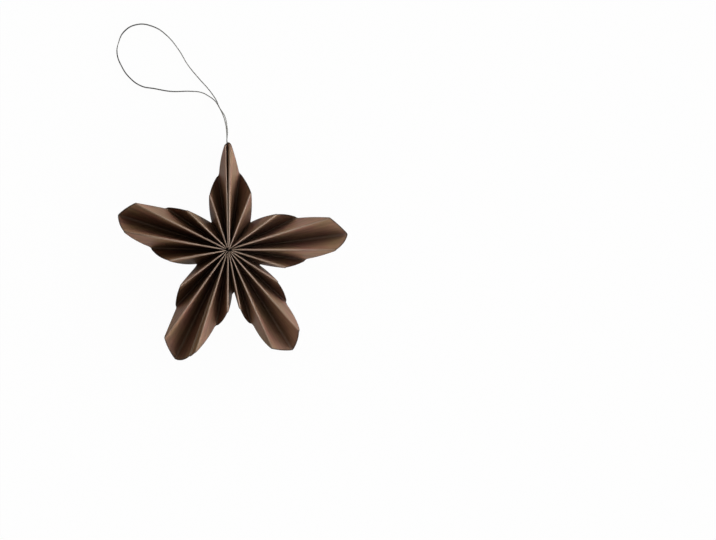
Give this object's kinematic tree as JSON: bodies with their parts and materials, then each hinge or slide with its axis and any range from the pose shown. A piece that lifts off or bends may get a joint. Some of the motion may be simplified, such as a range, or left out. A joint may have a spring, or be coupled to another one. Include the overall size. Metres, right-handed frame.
{
  "type": "pleated paper star",
  "caption": "Star ornament folded from a pleated paper strip that is cut into pointed arms and glued at a seam, with a thread loop to hang it by.",
  "frame": {"origin": "the hub's centre, on the plane that the star lies on", "axes": "+Z out of the star's front, +Y along the seam arm towards the thread"},
  "size_m": [0.1154, 0.1676, 0.0144],
  "materials": {
    "paper": "matte brown card",
    "thread": "silver-grey lurex thread"
  },
  "bodies": {
    "root": {"pleated_star": "paper", "hanging_cord": "thread"}
  },
  "joints": []
}
